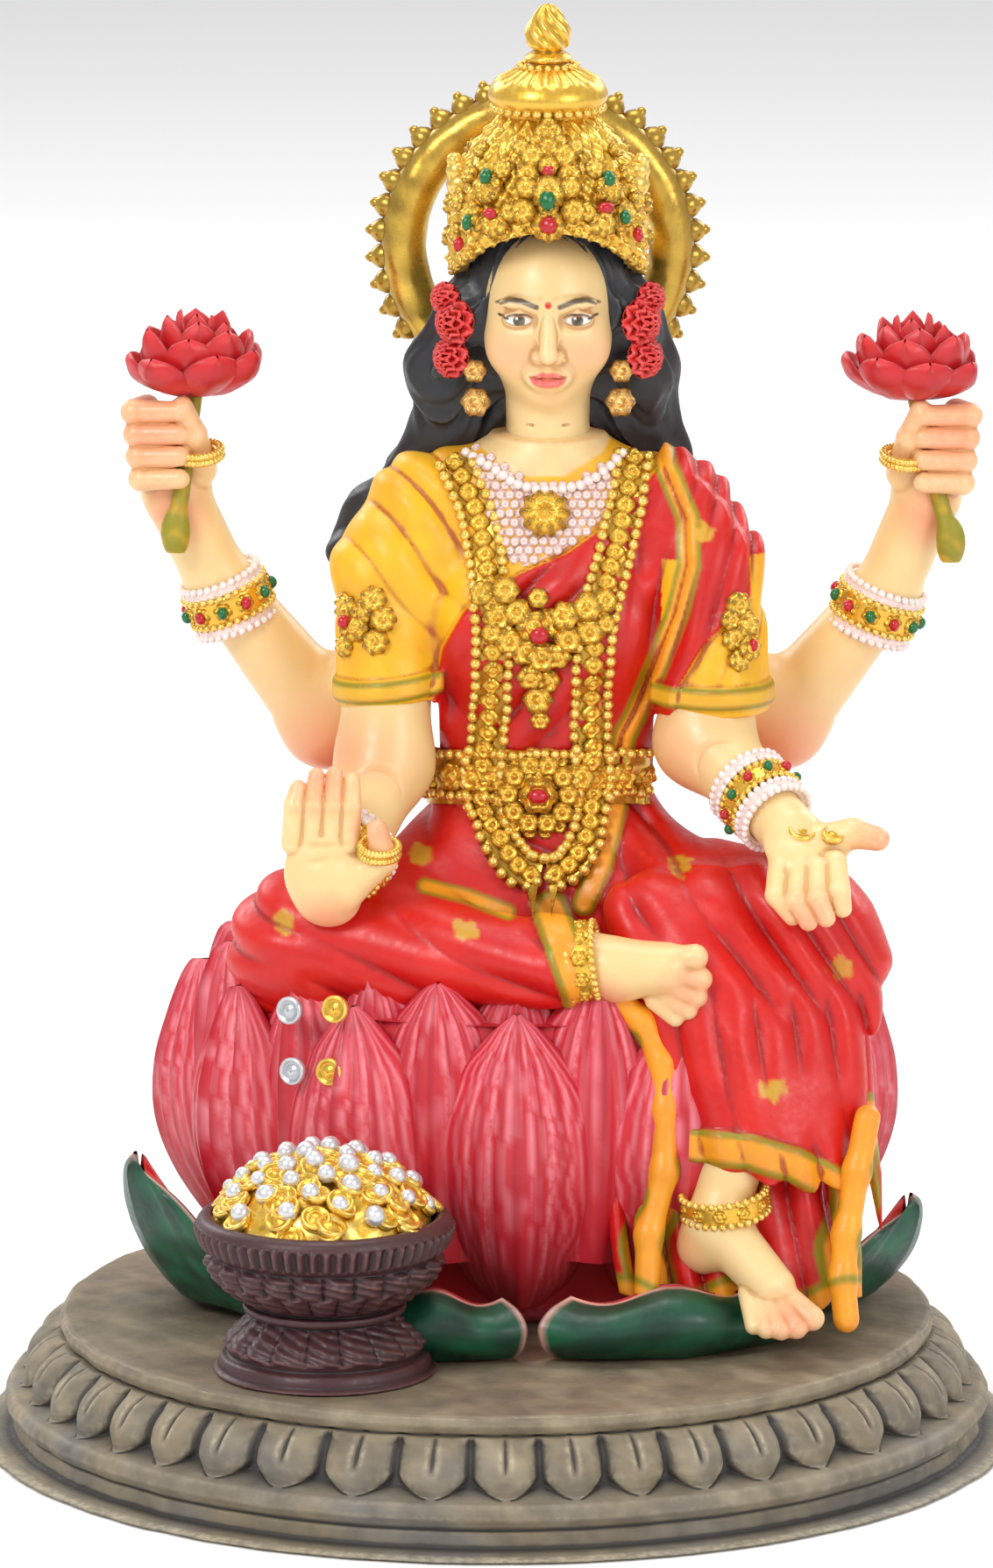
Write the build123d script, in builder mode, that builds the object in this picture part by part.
"""Four-armed seated goddess on a lotus throne, a painted cast-resin statuette.

Frame: millimetres, +Z up, the figure faces -Y, the origin is the middle of the plinth's underside.
Pieces that are glued meet face to face; pegs enter their sockets with peg_clearance all round.
"""
from build123d import *
import math
import os

os.makedirs("parts", exist_ok=True)

# ---------------------------------------------------------------- driving dimensions
# plinth
plinth_radius = 51.6
plinth_height = 13.2
plinth_ledge = 6.0            # how far the top plate stands back from the widest band
plate_thickness = 2.2
lip_height = 2.4              # plain lip below the rounded band
bottom_plate_thickness = 1.6
bottom_plate_inset = 5.0
tongue_count = 42
tongue_height = 5.8
tongue_projection = 1.5

# lotus throne
lotus_x, lotus_y = 3.0, 9.0
lotus_half_width = 35.5       # to the outside of the outer petals
lotus_half_depth = 28.0
lotus_height = 33.3           # from the plinth's top to the seat
petal_count = 12
petal_thickness = 2.6
petal_rise = 4.0              # how far the petal tips stand above the seat
leaf_thickness = 1.8

# pot of treasure
pot_x, pot_y = -17.5, -26.5
pot_foot_radius = 10.8
pot_rim_radius = 13.1
pot_waist_radius = 7.4
pot_height = 16.4
heap_height = 9.4
coin_radius = 1.5
coin_thickness = 0.7

# figure
body_x, body_y = 4.6, 8.8     # spine at the waist
waist_half_width = 10.6
waist_half_depth = 7.0
waist_rise = 18.5             # from the seat
chest_half_width = 12.2
chest_rise = 38.0
shoulder_half_width = 13.6
shoulder_rise = 48.5
neck_rise = 54.5
neck_radius = 4.6
neck_length = 7.5
head_height = 19.0            # 2 2/3 of these reach from the seat to the shoulders
head_radius = head_height * 0.375
sleeve_radius = 5.4
forearm_radius = 4.4
wrist_radius = 2.9
knee_radius = 6.6

# crown and halo
crown_radius = 11.3
crown_height = 17.0
disc_radius = 6.0
finial_height = 11.1
halo_radius = 13.9            # to the middle of the ring's tube
halo_tube = 2.33
halo_setback = 10.5           # from the head's axis back to the ring
halo_tooth = 1.9              # how far the teeth stand out past the ring
halo_tooth_radius = 1.1
halo_tooth_count = 38

# joints and layers
peg_clearance = 0.15
peg_radius = 1.6
figure_peg_radius = 3.2
peg_length = 4.0
drape_thickness = 0.9
trim_thickness = 1.5
relief_thickness = 2.3

# ---------------------------------------------------------------- worked-out levels
plate_radius = plinth_radius - plinth_ledge
plate_z = plinth_height
seat_z = plate_z + lotus_height
waist_z = seat_z + waist_rise
chest_z = seat_z + chest_rise
shoulder_z = seat_z + shoulder_rise
neck_z = seat_z + neck_rise
head_x = body_x + 0.7
head_y = body_y + 0.7
head_z = neck_z + neck_length + head_height / 2 - 1.2
crown_z = head_z + 3.5
crown_top_z = crown_z + crown_height
rim_z = plate_z + pot_height


# ---------------------------------------------------------------- shape helpers
def oval_loft(stations):
    """Add a smooth body through level ovals (x, y, z, half width, half depth)."""
    sections = []
    for x, y, z, half_width, half_depth in stations:
        with BuildSketch(Plane(origin=(x, y, z))) as section:
            Ellipse(half_width, half_depth)
        sections.append(section.sketch)
    loft(sections)


def limb(*stations):
    """Add a chain of tapered round lengths with ball joints, through (point, radius) stations."""
    for (start, start_radius), (end, end_radius) in zip(stations, stations[1:]):
        run = Vector(*end) - Vector(*start)
        with Locations(Plane(origin=start, z_dir=run)):
            Cone(start_radius, end_radius, run.length, align=(Align.CENTER, Align.CENTER, Align.MIN))
        with Locations(start):
            Sphere(start_radius)
    with Locations(stations[-1][0]):
        Sphere(stations[-1][1])


def front_plane(x, z, y):
    """A plane that faces the front, its own y axis upwards."""
    return Plane(origin=(x, y, z), x_dir=(1, 0, 0), z_dir=(0, -1, 0))


def turned(x, y, points):
    """Add a turned body about a vertical axis from its (radius, height) outline."""
    with BuildSketch(front_plane(x, 0, y)) as outline:
        with BuildLine():
            Polyline(*points, close=True)
        make_face()
    revolve(outline.sketch, axis=Axis((x, y, 0), (0, 0, 1)))


def spheroid(x, y, z, radius, half_height):
    """Add an egg-shaped body that is round seen from above."""
    with BuildSketch(front_plane(x, z, y)) as outline:
        Ellipse(radius, half_height)
        with Locations((-radius, 0)):
            Rectangle(2 * radius, 2 * half_height + 1, mode=Mode.SUBTRACT)
    revolve(outline.sketch, axis=Axis((x, y, z), (0, 0, 1)))


def keep_front(*outline):
    """Keep only what lies behind the outline (x, z), from the body's middle to the front."""
    with BuildSketch(front_plane(0, 0, body_y)) as window:
        with BuildLine():
            Polyline(*outline, close=True)
        make_face()
    extrude(window.sketch, amount=plinth_radius, mode=Mode.INTERSECT)


def boxes_meet(first, second):
    """Tell whether two bounding boxes reach each other."""
    return all(
        low <= high
        for low, high in (
            (first.min.X, second.max.X), (second.min.X, first.max.X),
            (first.min.Y, second.max.Y), (second.min.Y, first.max.Y),
            (first.min.Z, second.max.Z), (second.min.Z, first.max.Z),
        )
    )


def seat_on(piece, *neighbours):
    """Cut the neighbours that reach the piece out of it, so they meet face to face."""
    for neighbour in neighbours:
        if boxes_meet(piece.part.bounding_box(), neighbour.part.bounding_box()):
            add(neighbour.part, mode=Mode.SUBTRACT)


def socket(point, direction, radius, depth):
    """Cut a round socket that starts at a point and runs in a direction."""
    with Locations(Plane(origin=point, z_dir=direction)):
        Cylinder(
            radius + peg_clearance,
            depth + peg_clearance,
            align=(Align.CENTER, Align.CENTER, Align.MIN),
            mode=Mode.SUBTRACT,
        )


def peg(point, direction, radius, length):
    """Add a round peg that starts at a point and runs in a direction."""
    with Locations(Plane(origin=point, z_dir=direction)):
        Cylinder(radius, length, align=(Align.CENTER, Align.CENTER, Align.MIN))


def pegged(point, direction, radius, length):
    """Clear a socket's space out of the part in hand and add the peg that stands in it."""
    socket(point, direction, radius, length)
    peg(point, direction, radius, length)


def torso_stations(swell):
    """The trunk's sections from the hips to the neck, all larger by swell."""
    return [
        (body_x, body_y, waist_z - 6, waist_half_width + 1.2 + swell, waist_half_depth + 0.8 + swell),
        (body_x, body_y, waist_z + 4, waist_half_width + swell, waist_half_depth + swell),
        (body_x, body_y - 0.6, chest_z - 8, chest_half_width - 1.2 + swell, waist_half_depth + 1.4 + swell),
        (body_x, body_y - 0.8, chest_z, chest_half_width + swell, waist_half_depth + 2.0 + swell),
        (body_x + 0.5, body_y, shoulder_z - 3, shoulder_half_width + swell, waist_half_depth - 0.5 + swell),
        (body_x + 0.6, body_y + 0.6, shoulder_z + 2, shoulder_half_width - 3.4 + swell, 5.2 + swell),
        (body_x + 0.7, body_y + 0.7, neck_z, neck_radius + 1.0 + swell, neck_radius + 0.4 + swell),
    ]


# ---------------------------------------------------------------- plinth
with BuildPart() as plinth_base:
    turned(0, 0, [
        (0, 0),
        (plinth_radius - 1.3, 0),
        (plinth_radius - 0.9, lip_height - 0.5),
        (plinth_radius - 1.5, lip_height),
        (plinth_radius - 0.3, lip_height + 0.9),
        (plinth_radius, lip_height + 1.8),
        (plinth_radius - 0.6, lip_height + 2.8),
        (plinth_radius - 2.0, lip_height + 3.2),
        (plate_radius - 0.6, plinth_height - plate_thickness),
        (0, plinth_height - plate_thickness),
    ])
    with Locations((0, 0, 0)):
        Cylinder(
            plinth_radius - bottom_plate_inset + peg_clearance,
            bottom_plate_thickness,
            align=(Align.CENTER, Align.CENTER, Align.MIN),
            mode=Mode.SUBTRACT,
        )
plinth_base.part.label = "plinth_base"
export_step(plinth_base.part, "parts/plinth_base.step")

with BuildPart() as plinth_bottom_plate:
    Cylinder(
        plinth_radius - bottom_plate_inset,
        bottom_plate_thickness,
        align=(Align.CENTER, Align.CENTER, Align.MIN),
    )
plinth_bottom_plate.part.label = "plinth_bottom_plate"
export_step(plinth_bottom_plate.part, "parts/plinth_bottom_plate.step")

tongue_pitch = 2 * math.pi * (plate_radius + 2) / tongue_count
tongue_top_z = plinth_height - plate_thickness
with BuildPart() as one_tongue:
    with BuildSketch(Plane.YZ.offset(plate_radius - 4)):
        with Locations((0, tongue_top_z - tongue_height / 2)):
            SlotOverall(tongue_height + 1.2, tongue_pitch * 0.86, rotation=90)
        with Locations((0, tongue_top_z + 1.0)):
            Rectangle(tongue_pitch, 2.0, mode=Mode.SUBTRACT)
    extrude(amount=plinth_ledge + 4)
    with BuildSketch(Plane.XZ):
        with BuildLine():
            Polyline(
                (plate_radius - 4, tongue_top_z - tongue_height - 1),
                (plinth_radius - 2.2, tongue_top_z - tongue_height - 1),
                (plate_radius + tongue_projection + 1.9, tongue_top_z - tongue_height + 1.3),
                (plate_radius + tongue_projection + 0.6, tongue_top_z - 1.6),
                (plate_radius + 0.6, tongue_top_z),
                (plate_radius - 4, tongue_top_z),
                close=True,
            )
        make_face()
    extrude(amount=tongue_pitch, both=True, mode=Mode.INTERSECT)
    with BuildSketch(Plane.YZ.offset(plate_radius)):
        with Locations((0, tongue_top_z - 0.9)):
            Rectangle(0.7, 2.2)
    extrude(amount=plinth_ledge, mode=Mode.SUBTRACT)

with BuildPart() as plinth_tongues:
    with PolarLocations(0, tongue_count):
        add(one_tongue.part)
    seat_on(plinth_tongues, plinth_base)
plinth_tongues.part.label = "plinth_tongues"
export_step(plinth_tongues.part, "parts/plinth_tongues.step")

lotus_spigot_radius = lotus_half_depth / 2
pot_spigot_radius = pot_waist_radius / 2
with BuildPart() as plinth_top_plate:
    turned(0, 0, [
        (0, plinth_height - plate_thickness),
        (plate_radius - 0.3, plinth_height - plate_thickness),
        (plate_radius, plinth_height - plate_thickness + 0.5),
        (plate_radius, plinth_height - 0.5),
        (plate_radius - 0.6, plinth_height),
        (0, plinth_height),
    ])
    seat_on(plinth_top_plate, plinth_tongues)
    socket((lotus_x, lotus_y, plate_z), (0, 0, -1), lotus_spigot_radius, 1.2)
    socket((pot_x, pot_y, plate_z), (0, 0, -1), pot_spigot_radius, 1.2)
plinth_top_plate.part.label = "plinth_top_plate"
export_step(plinth_top_plate.part, "parts/plinth_top_plate.step")

# ---------------------------------------------------------------- pot of treasure
with BuildPart() as pot_foot:
    turned(pot_x, pot_y, [
        (0, plate_z),
        (pot_foot_radius - 0.2, plate_z),
        (pot_foot_radius, plate_z + 1.4),
        (pot_foot_radius - 0.8, plate_z + 2.4),
        (pot_foot_radius - 1.6, plate_z + 3.6),
        (pot_waist_radius + 0.2, plate_z + 6.0),
        (pot_waist_radius, plate_z + 7.0),
        (0, plate_z + 7.0),
    ])
    peg((pot_x, pot_y, plate_z), (0, 0, -1), pot_spigot_radius, 1.2)
pot_foot.part.label = "pot_foot"
export_step(pot_foot.part, "parts/pot_foot.step")

with BuildPart() as pot_bowl:
    turned(pot_x, pot_y, [
        (0, plate_z + 7.0),
        (pot_waist_radius + 0.4, plate_z + 7.0),
        (pot_rim_radius - 2.8, plate_z + 8.6),
        (pot_rim_radius - 1.3, plate_z + 10.6),
        (pot_rim_radius - 1.0, plate_z + 12.2),
        (pot_rim_radius - 1.8, rim_z - 3.4),
        (pot_rim_radius - 0.2, rim_z - 2.8),
        (pot_rim_radius, rim_z - 0.6),
        (pot_rim_radius - 0.6, rim_z),
        (pot_rim_radius - 1.6, rim_z),
        (pot_rim_radius - 2.2, rim_z - 3.0),
        (0, rim_z - 3.0),
    ])
pot_bowl.part.label = "pot_bowl"
export_step(pot_bowl.part, "parts/pot_bowl.step")

with BuildPart() as treasure_heap:
    turned(pot_x, pot_y, [
        (0, rim_z - 3.0),
        (pot_rim_radius - 2.2, rim_z - 3.0),
        (pot_rim_radius - 1.8, rim_z - 0.4),
        (pot_rim_radius - 2.2, rim_z + 1.8),
        (pot_rim_radius * 0.55, rim_z + heap_height * 0.62),
        (pot_rim_radius * 0.2, rim_z + heap_height * 0.84),
        (0, rim_z + heap_height * 0.86),
    ])
    seat_on(treasure_heap, pot_bowl)
treasure_heap.part.label = "treasure_heap"
export_step(treasure_heap.part, "parts/treasure_heap.step")

pearl_radius = 1.2
with BuildPart() as treasure_pearls:
    for ring_share, ring_rise, pearl_total in ((0.72, 0.30, 12), (0.45, 0.66, 7), (0.0, 0.9, 1)):
        with Locations((pot_x, pot_y, rim_z + heap_height * ring_rise)):
            with PolarLocations(pot_rim_radius * ring_share, pearl_total):
                Sphere(pearl_radius)
    seat_on(treasure_pearls, treasure_heap)
treasure_pearls.part.label = "treasure_pearls"
export_step(treasure_pearls.part, "parts/treasure_pearls.step")


# ---------------------------------------------------------------- lotus throne
def lotus_place(angle, inset):
    """The point and the outward direction on the throne's oval, inset from the petals' outside."""
    half_width = lotus_half_width - inset
    half_depth = lotus_half_depth - inset
    point = (lotus_x + half_width * math.cos(angle), lotus_y + half_depth * math.sin(angle))
    outward = Vector(math.cos(angle) / half_width, math.sin(angle) / half_depth, 0).normalized()
    return point, outward


def petal(angle, inset, stations):
    """Add a pointed petal through stations (height, lean outwards, half width, half thickness)."""
    (x, y), outward = lotus_place(angle, inset)
    sections = []
    for height, lean, half_width, half_thickness in stations:
        centre = Vector(x, y, height) + outward * lean
        level = Plane(origin=centre, x_dir=(-outward.Y, outward.X, 0), z_dir=(0, 0, 1))
        with BuildSketch(level) as section:
            Ellipse(half_width, half_thickness)
        sections.append(section.sketch)
    loft(sections)


petal_tip_z = seat_z + petal_rise
petal_pitch = 2 * math.pi / petal_count
petal_half_width = math.pi * (lotus_half_width + lotus_half_depth) / petal_count / 2
core_stations = [
    (lotus_x, lotus_y, plate_z, lotus_half_width - 11.0, lotus_half_depth - 9.0),
    (lotus_x, lotus_y, plate_z + 6, lotus_half_width - 8.0, lotus_half_depth - 6.5),
    (lotus_x, lotus_y, plate_z + 18, lotus_half_width - 3.4, lotus_half_depth - 3.4),
    (lotus_x, lotus_y, seat_z, lotus_half_width - 4.0, lotus_half_depth - 4.0),
]
with BuildPart() as lotus_core:
    oval_loft(core_stations)
    peg((lotus_x, lotus_y, plate_z), (0, 0, -1), lotus_spigot_radius, 1.2)
    socket((lotus_x, lotus_y, seat_z), (0, 0, -1), figure_peg_radius, peg_length)
lotus_core.part.label = "lotus_core"
export_step(lotus_core.part, "parts/lotus_core.step")

with BuildPart() as pot_recess:
    turned(pot_x, pot_y, [
        (0, plate_z),
        (pot_foot_radius + peg_clearance, plate_z),
        (pot_rim_radius + peg_clearance, rim_z - pot_height * 0.4),
        (pot_rim_radius + peg_clearance, rim_z + heap_height),
        (0, rim_z + heap_height),
    ])

with BuildPart() as lotus_petals_inner:
    for index in range(petal_count):
        petal((index + 0.5) * petal_pitch + math.pi / 2, 3.6, [
            (seat_z - 16, 0.0, petal_half_width * 0.8, petal_thickness / 2),
            (seat_z - 7, 0.6, petal_half_width * 0.8, petal_thickness / 2),
            (petal_tip_z - 4, -0.2, petal_half_width * 0.5, petal_thickness / 2.6),
            (petal_tip_z, -0.8, 0.5, 0.4),
        ])
    seat_on(lotus_petals_inner, lotus_core)
lotus_petals_inner.part.label = "lotus_petals_inner"
export_step(lotus_petals_inner.part, "parts/lotus_petals_inner.step")

with BuildPart() as lotus_petals_outer:
    for index in range(petal_count):
        petal(index * petal_pitch + math.pi / 2, 1.4, [
            (plate_z + 3, -5.5, petal_half_width * 0.5, petal_thickness / 2.4),
            (plate_z + 10, -2.0, petal_half_width * 0.86, petal_thickness / 2),
            (plate_z + 20, 0.2, petal_half_width * 0.97, petal_thickness / 1.8),
            (petal_tip_z - 9, 0.0, petal_half_width * 0.78, petal_thickness / 2),
            (petal_tip_z - 1, -1.8, 0.6, 0.4),
        ])
    seat_on(lotus_petals_outer, lotus_core, lotus_petals_inner, pot_recess)
lotus_petals_outer.part.label = "lotus_petals_outer"
export_step(lotus_petals_outer.part, "parts/lotus_petals_outer.step")

leaf_places = {
    "leaf_left": (180, 18.0, 6.5, 11.0),
    "leaf_front_left": (248, 8.0, 3.6, 9.0),
    "leaf_front_right": (298, 8.0, 4.2, 12.0),
    "leaf_right": (0, 14.0, 6.5, 11.0),
    "leaf_back_right": (55, 12.0, 5.5, 12.0),
    "leaf_back_left": (125, 12.0, 5.5, 12.0),
}
placed_leaves = []
for leaf_name, (bearing, rise, reach, half_width) in leaf_places.items():
    with BuildPart() as leaf:
        petal(math.radians(bearing), 6.0, [
            (plate_z, 0.0, half_width * 0.8, leaf_thickness),
            (plate_z + rise * 0.35, reach * 0.45, half_width, leaf_thickness * 0.7),
            (plate_z + rise * 0.75, reach * 0.85, half_width * 0.66, leaf_thickness * 0.55),
            (plate_z + rise, reach, 0.7, 0.5),
        ])
        seat_on(leaf, lotus_core, lotus_petals_outer, pot_recess, *placed_leaves)
    leaf.part.label = leaf_name
    export_step(leaf.part, f"parts/{leaf_name}.step")
    placed_leaves.append(leaf)

# ---------------------------------------------------------------- figure: trunk
def rear_shoulder(side):
    """Where a rear arm's peg leaves the trunk's side, behind the front arm."""
    return Vector(body_x + side * (chest_half_width - 0.4), body_y + 2.0, chest_z)


with BuildPart() as torso:
    oval_loft(torso_stations(0))
    socket((head_x, head_y, neck_z), (0, 0, -1), neck_radius / 2, peg_length)
    for side in (-1, 1):
        socket(rear_shoulder(side), (-side, -0.2, 0), peg_radius, peg_length)
torso.part.label = "torso"
export_step(torso.part, "parts/torso.step")

throne = (lotus_core, lotus_petals_inner, lotus_petals_outer, *placed_leaves)

# ---------------------------------------------------------------- figure: saree below the waist
leg_z = seat_z + 5.4
right_knee = (body_x - 25.0, body_y - 10.5, leg_z)
left_knee = (body_x + 27.6, body_y - 13.6, leg_z + 1.6)
right_ankle = (body_x + 3.6, body_y - 22.4, leg_z + 1.2)
left_ankle = (body_x + 20.2, body_y - 27.4, seat_z - 15.0)
with BuildPart() as skirt:
    oval_loft([
        (body_x, body_y + 0.6, seat_z, 19.0, 11.6),
        (body_x, body_y, seat_z + 7, 18.5, 11.0),
        (body_x, body_y, waist_z - 5, waist_half_width + 1.6, waist_half_depth + 1.4),
        (body_x, body_y, waist_z - 2, waist_half_width + 0.8, waist_half_depth + 0.6),
    ])
    limb(
        ((body_x - 5, body_y - 2, leg_z + 1.6), knee_radius + 0.9),
        (right_knee, knee_radius),
    )
    limb(
        ((body_x + 8, body_y - 2, leg_z + 2.0), knee_radius + 1.4),
        (left_knee, knee_radius + 0.4),
    )
    with BuildSketch(Plane.XY.offset(seat_z)):
        Rectangle(4 * plinth_radius, 4 * plinth_radius)
    extrude(amount=plinth_radius, mode=Mode.INTERSECT)
    peg((lotus_x, lotus_y, seat_z), (0, 0, -1), figure_peg_radius, peg_length)
    seat_on(skirt, torso, *throne)
skirt.part.label = "skirt"
export_step(skirt.part, "parts/skirt.step")

with BuildPart() as skirt_right_leg:
    limb((right_knee, knee_radius + 0.1), (right_ankle, knee_radius * 0.62))
    seat_on(skirt_right_leg, skirt, torso, *throne)
skirt_right_leg.part.label = "skirt_right_leg"
export_step(skirt_right_leg.part, "parts/skirt_right_leg.step")

drape_x = left_knee[0] - 5.4
drape_y = left_knee[1]
hem_z = seat_z - 14


def left_leg_stations(swell):
    """The sections of the cloth that falls over the left shin, all larger by swell."""
    return [
        (drape_x - 0.6, drape_y - 1.5, leg_z + 1, 11.0 + swell, 5.0 + swell),
        (drape_x - 0.6, drape_y - 7.0, leg_z - 7, 11.5 + swell, 4.6 + swell),
        (drape_x, drape_y - 10.6, hem_z, 8.6 + swell, 4.2 + swell),
    ]


with BuildPart() as skirt_left_leg:
    oval_loft(left_leg_stations(0))
    limb((left_knee, knee_radius + 0.6), (left_ankle, knee_radius * 0.8))
    with BuildSketch(Plane.XY.offset(hem_z)):
        Rectangle(4 * plinth_radius, 4 * plinth_radius)
    extrude(amount=plinth_radius, mode=Mode.INTERSECT)
    seat_on(skirt_left_leg, skirt, skirt_right_leg, torso, *throne)
skirt_left_leg.part.label = "skirt_left_leg"
export_step(skirt_left_leg.part, "parts/skirt_left_leg.step")

with BuildPart() as underdrape:
    oval_loft([
        (drape_x - 1.6, drape_y - 3.5, seat_z + 1, 12.6, 3.4),
        (drape_x - 1.6, drape_y - 8.8, seat_z - 13, 12.6, 3.0),
        (drape_x - 1.6, drape_y - 12.4, seat_z - 26, 12.0, 2.6),
    ])
    seat_on(underdrape, skirt, skirt_right_leg, skirt_left_leg, torso, *throne)
underdrape.part.label = "underdrape"
export_step(underdrape.part, "parts/underdrape.step")

saree = (skirt, skirt_right_leg, skirt_left_leg, underdrape)
border_width = 3.0
shin_run = Vector(*right_ankle) - Vector(*right_knee)
shin_end = Vector(*right_ankle) - shin_run.normalized() * (border_width - 0.6)
with BuildPart() as border_shin:
    with Locations(Plane(origin=shin_end, z_dir=shin_run)):
        Cylinder(knee_radius * 0.7 + 0.5, border_width, align=(Align.CENTER, Align.CENTER, Align.MIN))
    seat_on(border_shin, torso, *saree, *throne)
border_shin.part.label = "border_shin"
export_step(border_shin.part, "parts/border_shin.step")

with BuildPart() as border_hem:
    oval_loft(left_leg_stations(0.7))
    with BuildSketch(Plane.XY.offset(hem_z)):
        Rectangle(4 * plinth_radius, 4 * plinth_radius)
    extrude(amount=border_width, mode=Mode.INTERSECT)
    seat_on(border_hem, torso, *saree, *throne)
border_hem.part.label = "border_hem"
export_step(border_hem.part, "parts/border_hem.step")

with BuildPart() as border_tails:
    oval_loft([
        (drape_x - 14.2, drape_y - 6.0, seat_z + 1, 1.8, 1.6),
        (drape_x - 14.0, drape_y - 11.0, seat_z - 13, 1.9, 1.6),
        (drape_x - 12.0, drape_y - 14.8, seat_z - 25, 2.2, 1.4),
    ])
    oval_loft([
        (drape_x + 11.0, drape_y - 5.6, seat_z - 9, 1.5, 1.6),
        (drape_x + 10.8, drape_y - 9.6, seat_z - 18, 1.7, 1.6),
        (drape_x + 10.0, drape_y - 14.2, seat_z - 29, 1.6, 1.2),
    ])
    seat_on(border_tails, torso, *saree, border_hem, *throne)
border_tails.part.label = "border_tails"
export_step(border_tails.part, "parts/border_tails.step")

with BuildPart() as waist_pleats:
    oval_loft([
        (body_x + 5.4, body_y - 10.6, leg_z + 2.5, 3.2, 2.4),
        (body_x + 7.0, body_y - 9.0, leg_z + 7, 3.0, 2.4),
        (body_x + 8.0, body_y - 6.6, waist_z - 1, 2.0, 2.2),
    ])
    seat_on(waist_pleats, torso, *saree, border_shin)
waist_pleats.part.label = "waist_pleats"
export_step(waist_pleats.part, "parts/waist_pleats.step")

# ---------------------------------------------------------------- figure: sleeves and drape over the trunk
arm_spread = {-1: 15.8, 1: 17.6}      # from the spine to the sleeve's middle, right arm then left
sleeve_bottom_z = shoulder_z - 18.0


def sleeve_stations(side, swell):
    """The sections of a short sleeve on the right (-1) or left (1) arm, all larger by swell."""
    x = body_x + side * arm_spread[side]
    return [
        (x, body_y - 5.0, sleeve_bottom_z, sleeve_radius - 0.2 + swell, sleeve_radius - 0.2 + swell),
        (x - side * 0.2, body_y - 2.4, shoulder_z - 9.5, sleeve_radius + swell, sleeve_radius + swell + 0.4),
        (x - side * 1.4, body_y - 0.6, shoulder_z - 3, sleeve_radius - 0.2 + swell, sleeve_radius + swell),
        (x - side * 4.4, body_y + 0.4, shoulder_z + 1.2, 3.4 + swell, 3.6 + swell),
    ]


elbow_socket = {side: (body_x + side * arm_spread[side], body_y - 5.0, sleeve_bottom_z) for side in (-1, 1)}
with BuildPart() as sleeve_right:
    oval_loft(sleeve_stations(-1, 0))
    socket(elbow_socket[-1], (0, 0, 1), peg_radius, peg_length)
    seat_on(sleeve_right, torso)
sleeve_right.part.label = "sleeve_right"
export_step(sleeve_right.part, "parts/sleeve_right.step")

with BuildPart() as sleeve_left:
    oval_loft(sleeve_stations(1, 0))
    socket(elbow_socket[1], (0, 0, 1), peg_radius, peg_length)
    seat_on(sleeve_left, torso)
sleeve_left.part.label = "sleeve_left"
export_step(sleeve_left.part, "parts/sleeve_left.step")

with BuildPart() as shoulder_drape:
    oval_loft(torso_stations(drape_thickness))
    keep_front(
        (body_x - 11.4, waist_z - 1.5), (body_x - 11.4, waist_z + 12), (body_x - 9.0, chest_z + 2),
        (body_x - 2.0, chest_z + 6), (body_x + 4.0, shoulder_z - 0.5), (body_x + 9.0, shoulder_z + 4),
        (body_x + 18.0, shoulder_z + 3), (body_x + 16.0, chest_z), (body_x + 12.6, waist_z - 1.5),
    )
    seat_on(shoulder_drape, torso, sleeve_right, sleeve_left, *saree, waist_pleats)
shoulder_drape.part.label = "shoulder_drape"
export_step(shoulder_drape.part, "parts/shoulder_drape.step")

with BuildPart() as drape_border:
    oval_loft(torso_stations(trim_thickness))
    keep_front(
        (body_x + 9.6, shoulder_z + 4), (body_x + 12.0, shoulder_z + 3.4), (body_x + 12.6, chest_z),
        (body_x + 9.0, waist_z + 6), (body_x + 6.8, waist_z + 7), (body_x + 10.2, chest_z),
    )
    seat_on(drape_border, torso, shoulder_drape, sleeve_right, sleeve_left)
drape_border.part.label = "drape_border"
export_step(drape_border.part, "parts/drape_border.step")

with BuildPart() as lace_collar:
    oval_loft(torso_stations(drape_thickness))
    keep_front(
        (body_x - 5.6, shoulder_z + 6), (body_x - 3.6, chest_z + 9), (body_x - 1.6, chest_z + 6.4),
        (body_x + 3.6, shoulder_z - 0.5), (body_x + 8.2, shoulder_z + 6),
    )
    seat_on(lace_collar, torso, shoulder_drape, sleeve_right, sleeve_left, drape_border)
lace_collar.part.label = "lace_collar"
export_step(lace_collar.part, "parts/lace_collar.step")

trunk = (torso, *saree, waist_pleats, sleeve_right, sleeve_left, shoulder_drape, drape_border, lace_collar)

# ---------------------------------------------------------------- figure: jewellery on the trunk
with BuildPart() as belt:
    oval_loft(torso_stations(drape_thickness + trim_thickness))
    with BuildSketch(Plane.XY.offset(waist_z - 0.8)):
        Rectangle(4 * plinth_radius, 4 * plinth_radius)
    extrude(amount=6.6, mode=Mode.INTERSECT)
    seat_on(belt, *trunk)
belt.part.label = "belt"
export_step(belt.part, "parts/belt.step")

buckle_radius = 4.3
with BuildPart() as belt_buckle:
    buckle_plane = front_plane(body_x - 0.4, waist_z + 2.2, body_y - waist_half_depth + 1.5)
    with Locations(buckle_plane):
        Cylinder(buckle_radius, 5.2, align=(Align.CENTER, Align.CENTER, Align.MIN))
        Sphere(1.4)
    fillet(belt_buckle.edges().group_by(Axis.Y)[0], 0.6)
    seat_on(belt_buckle, *trunk, belt)
belt_buckle.part.label = "belt_buckle"
export_step(belt_buckle.part, "parts/belt_buckle.step")

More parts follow.
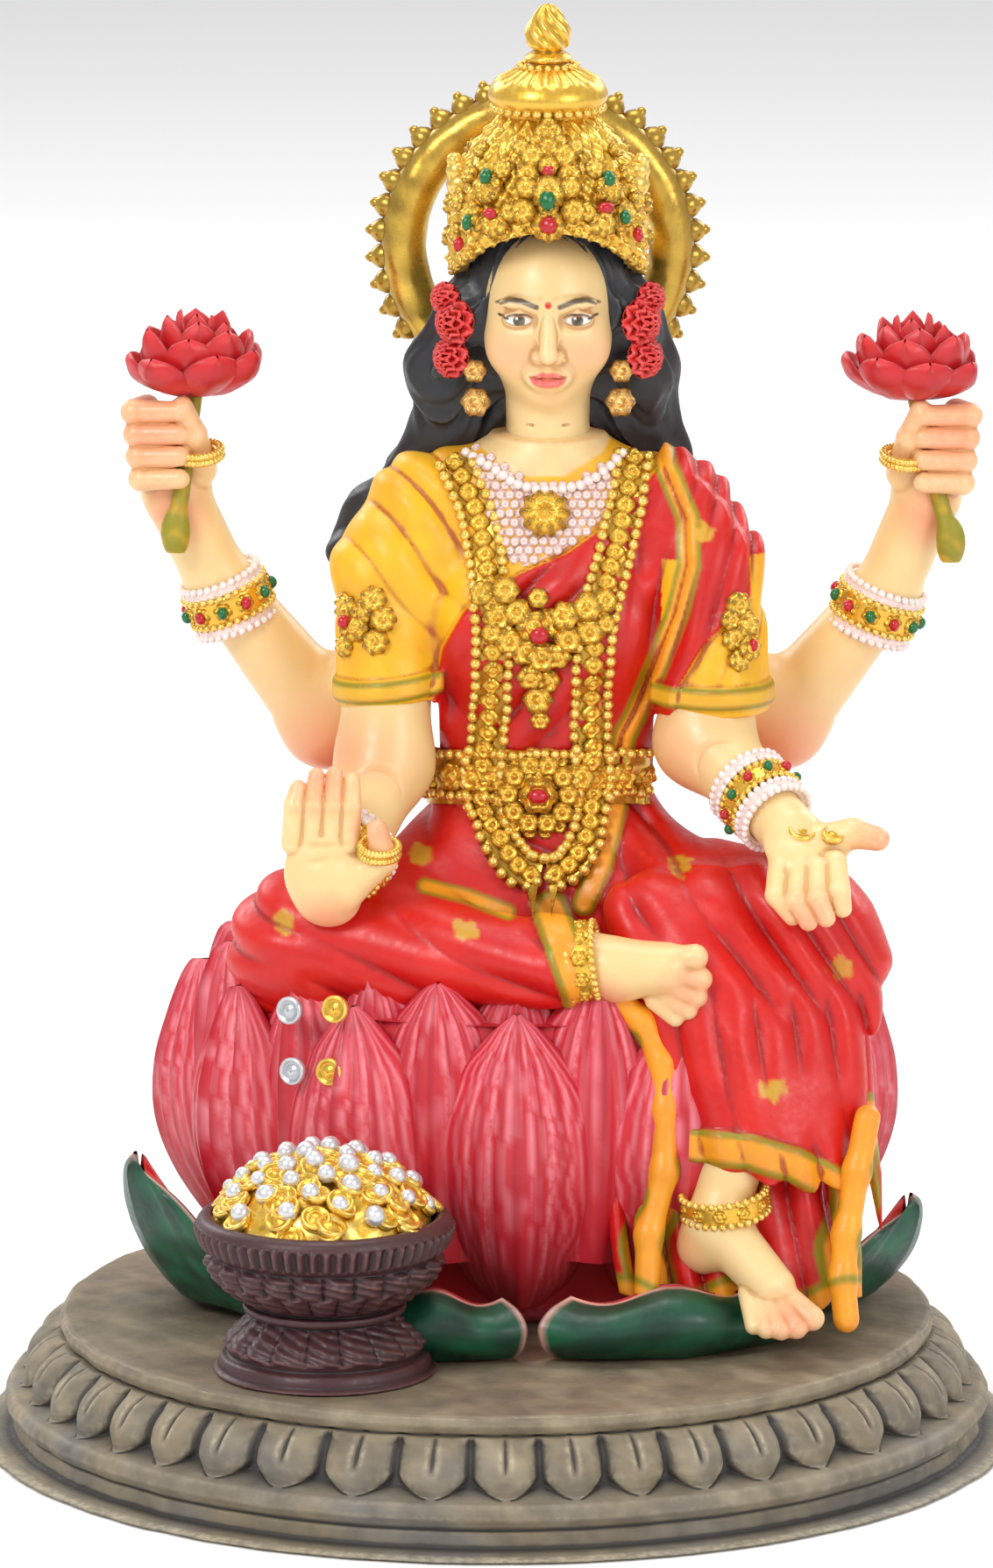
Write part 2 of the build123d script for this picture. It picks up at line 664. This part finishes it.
garland_radius = 1.9
garland_points = [
    (body_x - 8.6, body_y - 3.4, shoulder_z + 4.0),
    (body_x - 6.4, body_y - 8.0, chest_z + 6.0),
    (body_x - 5.2, body_y - 9.4, chest_z - 4.0),
    (body_x - 6.4, body_y - 8.4, waist_z + 3.0),
    (body_x - 6.0, body_y - 9.6, waist_z - 4.5),
    (body_x - 0.2, body_y - 10.4, waist_z - 6.6),
    (body_x + 6.2, body_y - 9.6, waist_z - 4.5),
    (body_x + 6.2, body_y - 8.4, waist_z + 3.0),
    (body_x + 5.6, body_y - 9.4, chest_z - 4.0),
    (body_x + 7.0, body_y - 8.0, chest_z + 6.0),
    (body_x + 9.4, body_y - 3.4, shoulder_z + 4.0),
]
with BuildPart() as garland:
    for start, end in zip(garland_points, garland_points[1:]):
        run = Vector(*end) - Vector(*start)
        with Locations(Plane(origin=start, z_dir=run)):
            Cylinder(garland_radius, run.length, align=(Align.CENTER, Align.CENTER, Align.MIN))
        with Locations(start, end):
            Sphere(garland_radius)
    seat_on(garland, *trunk, belt, belt_buckle)
garland.part.label = "garland"
export_step(garland.part, "parts/garland.step")

with BuildPart() as chest_ornament:
    oval_loft(torso_stations(relief_thickness))
    keep_front(
        (body_x - 7.2, chest_z + 3.6), (body_x - 4.6, chest_z - 0.4), (body_x - 2.4, chest_z - 4.4),
        (body_x - 0.4, chest_z - 8.6), (body_x + 1.6, chest_z - 4.4), (body_x + 4.4, chest_z - 0.4),
        (body_x + 6.6, chest_z + 3.0), (body_x - 0.4, chest_z + 1.4),
    )
    seat_on(chest_ornament, *trunk, garland)
chest_ornament.part.label = "chest_ornament"
export_step(chest_ornament.part, "parts/chest_ornament.step")

with BuildPart() as medallion:
    with Locations(front_plane(body_x + 0.2, shoulder_z - 0.5, body_y - waist_half_depth + 1)):
        Cylinder(2.6, 3.2, align=(Align.CENTER, Align.CENTER, Align.MIN))
    seat_on(medallion, *trunk, garland)
medallion.part.label = "medallion"
export_step(medallion.part, "parts/medallion.step")

# ---------------------------------------------------------------- figure: front arms
def hand_fingers(knuckles, tips, radius):
    """Add four tapered fingers from the knuckles to the tips."""
    for knuckle, tip in zip(knuckles, tips):
        limb((knuckle, radius), (tip, radius * 0.82))


finger_steps = (-1.5, -0.5, 0.5, 1.5)      # the four fingers, counted across the palm from its middle
palm_z = seat_z + 17.0
palm_x = body_x - 22.2
palm_y = body_y - 18.8
with BuildPart() as front_right_arm:
    limb(
        ((elbow_socket[-1][0], elbow_socket[-1][1] - 0.6, sleeve_bottom_z - 0.4), forearm_radius + 0.2),
        ((body_x - 15.4, body_y - 8.6, leg_z + 10.4), forearm_radius - 0.4),
        ((palm_x + 2.2, palm_y + 1.6, palm_z - 4.4), wrist_radius),
    )
    oval_loft([
        (palm_x + 1.0, palm_y + 0.4, palm_z - 5.0, 3.2, 2.3),
        (palm_x, palm_y, palm_z, 4.2, 2.2),
        (palm_x + 0.4, palm_y - 0.2, palm_z + 3.6, 3.9, 1.7),
    ])
    hand_fingers(
        [(palm_x + 0.6 + step * 1.95, palm_y - 0.2, palm_z + 2.8) for step in finger_steps],
        [(palm_x + 0.9 + step * 1.85, palm_y - 0.4, palm_z + 8.2 - abs(step)) for step in finger_steps],
        1.12,
    )
    limb(
        ((palm_x + 3.4, palm_y - 0.6, palm_z - 2.0), 1.8),
        ((palm_x + 6.2, palm_y - 0.8, palm_z + 1.6), 1.45),
        ((palm_x + 5.4, palm_y - 1.0, palm_z + 6.0), 1.05),
    )
    seat_on(front_right_arm, *trunk)
    pegged(elbow_socket[-1], (0, 0, 1), peg_radius, peg_length)
front_right_arm.part.label = "front_right_arm"
export_step(front_right_arm.part, "parts/front_right_arm.step")

open_palm = (body_x + 26.2, body_y - 20.4, seat_z + 17.2)
palm_end_x, palm_end_y, palm_end_z = open_palm
left_wrist = (body_x + 23.0, body_y - 15.0, seat_z + 20.2)
with BuildPart() as front_left_arm:
    limb(
        ((elbow_socket[1][0], elbow_socket[1][1] - 0.6, sleeve_bottom_z - 0.4), forearm_radius + 0.2),
        ((body_x + 17.2, body_y - 8.0, seat_z + 24.4), forearm_radius),
        (left_wrist, wrist_radius),
        (open_palm, wrist_radius + 0.5),
    )
    hand_fingers(
        [(palm_end_x + step * 2.0, palm_end_y - 1.6, palm_end_z + 0.6) for step in finger_steps],
        [(palm_end_x + 0.8 + step * 1.9, palm_end_y - 4.6, palm_end_z - 2.4) for step in finger_steps],
        1.25,
    )
    limb(
        ((open_palm[0] + 2.6, open_palm[1] + 1.4, open_palm[2] + 1.6), 1.8),
        ((open_palm[0] + 5.4, open_palm[1], open_palm[2] + 2.2), 1.5),
        ((open_palm[0] + 8.0, open_palm[1] - 0.4, open_palm[2] + 2.6), 1.1),
    )
    seat_on(front_left_arm, *trunk)
    pegged(elbow_socket[1], (0, 0, 1), peg_radius, peg_length)
front_left_arm.part.label = "front_left_arm"
export_step(front_left_arm.part, "parts/front_left_arm.step")

with BuildPart() as sleeve_hems:
    for side in (-1, 1):
        oval_loft(sleeve_stations(side, 0.5))
    with BuildSketch(Plane.XY.offset(sleeve_bottom_z)):
        Rectangle(4 * plinth_radius, 4 * plinth_radius)
    extrude(amount=2.2, mode=Mode.INTERSECT)
    seat_on(sleeve_hems, *trunk, front_right_arm, front_left_arm)
sleeve_hems.part.label = "sleeve_hems"
export_step(sleeve_hems.part, "parts/sleeve_hems.step")

armlet_z = shoulder_z - 10.4
with BuildPart() as armlets:
    for side, facing in ((-1, (-0.25, -1, 0)), (1, (0.8, -0.7, 0))):
        arm_middle = (body_x + side * arm_spread[side], body_y - 2.8, armlet_z)
        with Locations(Plane(origin=arm_middle, z_dir=facing)):
            Cylinder(3.2, sleeve_radius + trim_thickness, align=(Align.CENTER, Align.CENTER, Align.MIN))
    seat_on(armlets, *trunk, sleeve_hems, belt, garland)
armlets.part.label = "armlets"
export_step(armlets.part, "parts/armlets.step")

with BuildPart() as front_bracelets:
    with Locations(Plane(origin=left_wrist, z_dir=Vector(*open_palm) - Vector(*left_wrist))):
        Torus(wrist_radius + 0.9, 1.1)
    with Locations(Plane(origin=(palm_x + 3.0, palm_y + 2.4, palm_z - 3.4), z_dir=(-0.5, -0.8, -0.3))):
        Torus(wrist_radius + 0.8, 0.8)
    seat_on(front_bracelets, *trunk, front_right_arm, front_left_arm)
front_bracelets.part.label = "front_bracelets"
export_step(front_bracelets.part, "parts/front_bracelets.step")

# ---------------------------------------------------------------- figure: rear arms and held lotuses
rear_reach = {-1: 33.4, 1: 36.6}      # from the spine to the wrist, right arm then left
fist_z = shoulder_z + 6.4
stem_radius = 0.8


def fist_centre(side):
    """The middle of a rear hand."""
    return Vector(body_x + side * (rear_reach[side] + 4.8), body_y + 2.4, fist_z)


def stem_ends(side):
    """The lower and upper end of a held stem."""
    fist = fist_centre(side)
    return fist + Vector(0, -3.6, -7.4), fist + Vector(-side * 2.4, -1.2, 6.4)


def stem(side, radius):
    """Add a held stem from its cut end to its flower."""
    bottom, top = stem_ends(side)
    run = top - bottom
    with Locations(Plane(origin=bottom, z_dir=run)):
        Cylinder(radius, run.length, align=(Align.CENTER, Align.CENTER, Align.MIN))


def bloom(base, radius, height):
    """Add a small open lotus flower: a closed heart in a cup of two rows of pointed petals."""
    turned(base.X, base.Y, [
        (0, base.Z),
        (1.4, base.Z),
        (radius * 0.62, base.Z + height * 0.26),
        (radius * 0.66, base.Z + height * 0.46),
        (radius * 0.30, base.Z + height * 0.86),
        (0, base.Z + height * 0.96),
    ])
    for ring_share, low, rise, total in ((1.0, 0.3, 0.72, 7), (0.6, 0.5, 0.98, 5)):
        for index in range(total):
            angle = 2 * math.pi * (index + 0.5 * ring_share) / total
            outward = Vector(math.cos(angle), math.sin(angle), 0) * radius * ring_share
            limb(
                (base + outward * 0.55 + Vector(0, 0, height * low), 1.9),
                (base + outward + Vector(0, 0, height * rise), 0.5),
            )


flower_radius = 5.6
flower_height = 9.4
with BuildPart() as held_lotus_right:
    bloom(stem_ends(-1)[1], flower_radius, flower_height)
held_lotus_right.part.label = "held_lotus_right"
export_step(held_lotus_right.part, "parts/held_lotus_right.step")

with BuildPart() as held_lotus_left:
    bloom(stem_ends(1)[1], flower_radius, flower_height)
held_lotus_left.part.label = "held_lotus_left"
export_step(held_lotus_left.part, "parts/held_lotus_left.step")

with BuildPart() as lotus_stems:
    stem(-1, stem_radius)
    stem(1, stem_radius)
    seat_on(lotus_stems, held_lotus_right, held_lotus_left)
lotus_stems.part.label = "lotus_stems"
export_step(lotus_stems.part, "parts/lotus_stems.step")


def rear_arm(side):
    """Add a rear arm with its fist, from its peg in the back of the trunk."""
    fist = fist_centre(side)
    elbow = Vector(body_x + side * (rear_reach[side] - 11.4), body_y + 7.2, seat_z + 25.8)
    wrist = Vector(body_x + side * rear_reach[side], body_y + 4.4, seat_z + 40.8)
    limb(
        (rear_shoulder(side), forearm_radius - 0.3),
        (elbow, forearm_radius + 0.2),
        (wrist, wrist_radius + 0.3),
        (fist - Vector(side * 1.0, 0, 4), wrist_radius + 0.2),
        (fist, wrist_radius + 0.9),
    )
    for step in range(4):
        level = 3.8 - step * 2.3
        limb(
            (fist + Vector(side * 3.2, 0.6, level), 1.35),
            (fist + Vector(side * 3.4, -3.0, level + 0.3), 1.25),
            (fist + Vector(side * 0.2, -4.2, level + 0.2), 1.0),
        )


with BuildPart() as rear_right_arm:
    rear_arm(-1)
    seat_on(rear_right_arm, *trunk, front_right_arm, held_lotus_right, lotus_stems)
    pegged(rear_shoulder(-1), (1, -0.2, 0), peg_radius, peg_length)
rear_right_arm.part.label = "rear_right_arm"

with BuildPart() as rear_left_arm:
    rear_arm(1)
    seat_on(rear_left_arm, *trunk, front_left_arm, held_lotus_left, lotus_stems)
    pegged(rear_shoulder(1), (-1, -0.2, 0), peg_radius, peg_length)
rear_left_arm.part.label = "rear_left_arm"
export_step(rear_right_arm.part, "parts/rear_right_arm.step")
export_step(rear_left_arm.part, "parts/rear_left_arm.step")

with BuildPart() as rear_bracelets:
    for side in (-1, 1):
        wrist = (body_x + side * rear_reach[side], body_y + 4.4, seat_z + 40.8)
        with Locations(Plane(origin=wrist, z_dir=(side * 0.55, -0.1, 0.8))):
            Cylinder(wrist_radius + 1.3, 4.6)
    seat_on(rear_bracelets, rear_right_arm, rear_left_arm)
rear_bracelets.part.label = "rear_bracelets"
export_step(rear_bracelets.part, "parts/rear_bracelets.step")

# ---------------------------------------------------------------- head, hair, crown and halo
with BuildPart() as head:
    spheroid(head_x, head_y, head_z, head_radius, head_height / 2)
    with Locations((head_x, head_y - head_radius * 0.62, head_z - head_height * 0.33)):
        Sphere(head_radius * 0.34)
    limb(
        ((head_x, head_y - head_radius * 0.96, head_z), 0.7),
        ((head_x, head_y - head_radius * 1.08, head_z - head_height * 0.13), 1.0),
    )
    oval_loft([
        (head_x, head_y, neck_z, neck_radius, neck_radius),
        (head_x, head_y, neck_z + neck_length * 0.5, neck_radius - 0.3, neck_radius - 0.3),
        (head_x, head_y, neck_z + neck_length, neck_radius, neck_radius),
    ])
    peg((head_x, head_y, neck_z), (0, 0, -1), neck_radius / 2, peg_length)
    seat_on(head, *trunk)
head.part.label = "head"
export_step(head.part, "parts/head.step")

hair_y = head_y + 2.2
with BuildPart() as hair:
    spheroid(head_x, hair_y, head_z + 0.6, head_radius + 1.3, head_height / 2 + 0.8)
    with BuildSketch(front_plane(head_x, head_z - 2.0, head_y)):
        Ellipse(head_radius * 0.86, head_height * 0.46)
    extrude(amount=head_radius * 2, mode=Mode.SUBTRACT)
    oval_loft([
        (head_x, hair_y + 5.8, shoulder_z - 16, 6.0, 2.4),
        (head_x, hair_y + 5.4, shoulder_z - 4, 10.5, 3.0),
        (head_x, hair_y + 4.0, neck_z + 4, 9.5, 4.0),
        (head_x, hair_y + 2.0, head_z, 7.5, 5.5),
    ])
    for side in (-1, 1):
        limb(
            ((head_x + side * 8.0, hair_y + 2.0, head_z - 5), 3.2),
            ((head_x + side * 9.8, hair_y + 3.4, neck_z + 4), 3.7),
            ((head_x + side * 9.0, hair_y + 4.0, shoulder_z + 2), 3.9),
            ((head_x + side * 12.6, hair_y + 4.2, shoulder_z - 4), 3.2),
        )
    seat_on(hair, head, *trunk, garland, rear_right_arm, rear_left_arm)
hair.part.label = "hair"
export_step(hair.part, "parts/hair.step")

crown_y = head_y + 0.5
rim_lift = 5.0                # how far the rim rises over the forehead
with BuildPart() as crown:
    turned(head_x, crown_y, [
        (0, crown_z),
        (crown_radius, crown_z),
        (crown_radius - 0.1, crown_z + crown_height * 0.36),
        (crown_radius - 1.4, crown_z + crown_height * 0.72),
        (crown_radius * 0.55, crown_z + crown_height * 0.96),
        (disc_radius * 0.8, crown_top_z),
        (0, crown_top_z),
    ])
    with BuildSketch(Plane.YZ.offset(head_x)):
        with BuildLine():
            Polyline(
                (crown_y, crown_z - 0.1),
                (crown_y - crown_radius - 0.1, crown_z + rim_lift),
                (crown_y - crown_radius - 0.1, crown_z - 0.1),
                close=True,
            )
        make_face()
    extrude(amount=crown_radius * 1.1, both=True, mode=Mode.SUBTRACT)
    seat_on(crown, head, hair)
crown.part.label = "crown"
export_step(crown.part, "parts/crown.step")

with BuildPart() as crown_finial:
    turned(head_x, crown_y, [
        (0, crown_top_z),
        (disc_radius * 0.8, crown_top_z),
        (disc_radius, crown_top_z + 1.0),
        (disc_radius - 0.2, crown_top_z + 2.6),
        (disc_radius * 0.66, crown_top_z + 3.8),
        (disc_radius * 0.36, crown_top_z + 4.4),
        (disc_radius * 0.42, crown_top_z + 5.8),
        (disc_radius * 0.26, crown_top_z + 6.6),
        (disc_radius * 0.34, crown_top_z + 8.2),
        (disc_radius * 0.18, crown_top_z + finial_height - 0.8),
        (0, crown_top_z + finial_height),
    ])
crown_finial.part.label = "crown_finial"
export_step(crown_finial.part, "parts/crown_finial.step")

gem_radius = 0.85
gem_height = 1.9
gem_places = [(0, 6.8), (0, 9.2), (-4.4, 6.8), (4.4, 6.8), (-7.4, 5.6), (7.4, 5.6), (-7.0, 8.8), (7.0, 8.8)]
with BuildPart() as crown_gems:
    for across, rise in gem_places:
        depth = math.sqrt((crown_radius - gem_height / 2) ** 2 - across ** 2)
        gem_base = (head_x + across, crown_y - depth, crown_z + rise)
        with Locations(Plane(origin=gem_base, z_dir=(across, -depth, 0))):
            Cylinder(gem_radius, gem_height, align=(Align.CENTER, Align.CENTER, Align.MIN))
    seat_on(crown_gems, crown, hair, head)
crown_gems.part.label = "crown_gems"
export_step(crown_gems.part, "parts/crown_gems.step")

halo_centre = Vector(body_x - 0.3, head_y + halo_setback, crown_z + 1.5)
with BuildPart() as halo_ring:
    with Locations(Plane(origin=halo_centre, z_dir=(0, -1, 0))):
        Torus(halo_radius, halo_tube)
    seat_on(halo_ring, hair, crown, crown_finial, head)
halo_ring.part.label = "halo_ring"
export_step(halo_ring.part, "parts/halo_ring.step")

with BuildPart() as halo_teeth:
    for index in range(halo_tooth_count):
        angle = 2 * math.pi * index / halo_tooth_count
        radial = Vector(math.cos(angle), 0, math.sin(angle))
        tooth_base = halo_centre + radial * (halo_radius + 0.8) + Vector(0, 1.0, 0)
        with Locations(Plane(origin=tooth_base, z_dir=radial)):
            Cone(
                halo_tooth_radius,
                0.3,
                halo_tube - 0.8 + halo_tooth,
                align=(Align.CENTER, Align.CENTER, Align.MIN),
            )
    seat_on(halo_teeth, halo_ring, hair, crown, crown_finial)
halo_teeth.part.label = "halo_teeth"
export_step(halo_teeth.part, "parts/halo_teeth.step")

with BuildPart() as hair_flowers:
    for side in (-1, 1):
        flower = (head_x + side * (head_radius + 2.0), head_y - 2.6, head_z - 1.6)
        with Locations(flower):
            Sphere(2.4)
            with PolarLocations(1.6, 6):
                Sphere(1.5)
    seat_on(hair_flowers, head, hair, crown, halo_ring, halo_teeth, crown_gems)
hair_flowers.part.label = "hair_flowers"
export_step(hair_flowers.part, "parts/hair_flowers.step")

with BuildPart() as earrings:
    for side in (-1, 1):
        ear_x = head_x + side * (head_radius + 0.2)
        limb(
            ((ear_x, head_y - 1.6, head_z - 4.2), 1.2),
            ((ear_x, head_y - 2.4, head_z - 6.2), 1.5),
            ((ear_x, head_y - 2.6, head_z - 9.2), 1.4),
        )
    seat_on(earrings, head, hair, hair_flowers, *trunk, garland)
earrings.part.label = "earrings"
export_step(earrings.part, "parts/earrings.step")

# ---------------------------------------------------------------- feet, anklets and loose coins
with BuildPart() as right_foot:
    foot_x, foot_y, foot_z = right_ankle
    limb(
        ((foot_x, foot_y, foot_z), 3.3),
        ((foot_x + 4.4, foot_y - 0.8, foot_z - 0.8), 3.4),
        ((foot_x + 9.0, foot_y - 1.2, foot_z), 2.9),
        ((foot_x + 11.8, foot_y - 1.4, foot_z - 0.6), 2.2),
    )
    seat_on(right_foot, torso, *saree, border_shin, waist_pleats, *throne)
right_foot.part.label = "right_foot"
export_step(right_foot.part, "parts/right_foot.step")

with BuildPart() as left_foot:
    foot_x, foot_y, foot_z = left_ankle
    limb(
        ((foot_x - 0.6, foot_y, foot_z), 3.0),
        ((foot_x - 2.2, foot_y - 1.6, foot_z - 5.0), 3.3),
        ((foot_x + 2.0, foot_y - 3.4, foot_z - 7.0), 3.0),
        ((foot_x + 6.4, foot_y - 5.6, foot_z - 10.4), 1.9),
    )
    seat_on(left_foot, *saree, border_hem, border_tails, *throne)
left_foot.part.label = "left_foot"
export_step(left_foot.part, "parts/left_foot.step")

anklet_thickness = 0.9
with BuildPart() as anklets:
    with Locations(Plane(origin=Vector(*right_ankle) + Vector(1.4, 0, 0), z_dir=(1, 0, 0))):
        Cylinder(3.5 + anklet_thickness, 2.2)
    with Locations(Plane(origin=Vector(*left_ankle) - Vector(0.9, 0.6, 1.6), z_dir=(0, 0, 1))):
        Cylinder(3.2 + anklet_thickness, 2.4)
    seat_on(anklets, right_foot, left_foot, border_shin, skirt_right_leg, skirt_left_leg, underdrape)
anklets.part.label = "anklets"
export_step(anklets.part, "parts/anklets.step")

coin_places = [
    (body_x - 25.2, seat_z + 2.4), (body_x - 21.0, seat_z + 2.4),
    (body_x - 25.0, seat_z - 3.4), (body_x - 21.2, seat_z - 3.4),
]
with BuildPart() as loose_coins:
    for coin_x, coin_z in coin_places:
        across = (coin_x - lotus_x) / (lotus_half_width - 1.4)
        petal_y = lotus_y - (lotus_half_depth - 1.4) * math.sqrt(1 - across ** 2)
        with Locations(front_plane(coin_x, coin_z, petal_y)):
            Cylinder(
                coin_radius,
                petal_thickness / 2 + coin_thickness,
                align=(Align.CENTER, Align.CENTER, Align.MIN),
            )
    with Locations((open_palm[0] - 0.6, open_palm[1] + 0.6, open_palm[2] + wrist_radius)):
        Cylinder(coin_radius, coin_thickness + 1)
    seat_on(loose_coins, front_left_arm, *throne, *saree)
loose_coins.part.label = "loose_coins"
export_step(loose_coins.part, "parts/loose_coins.step")
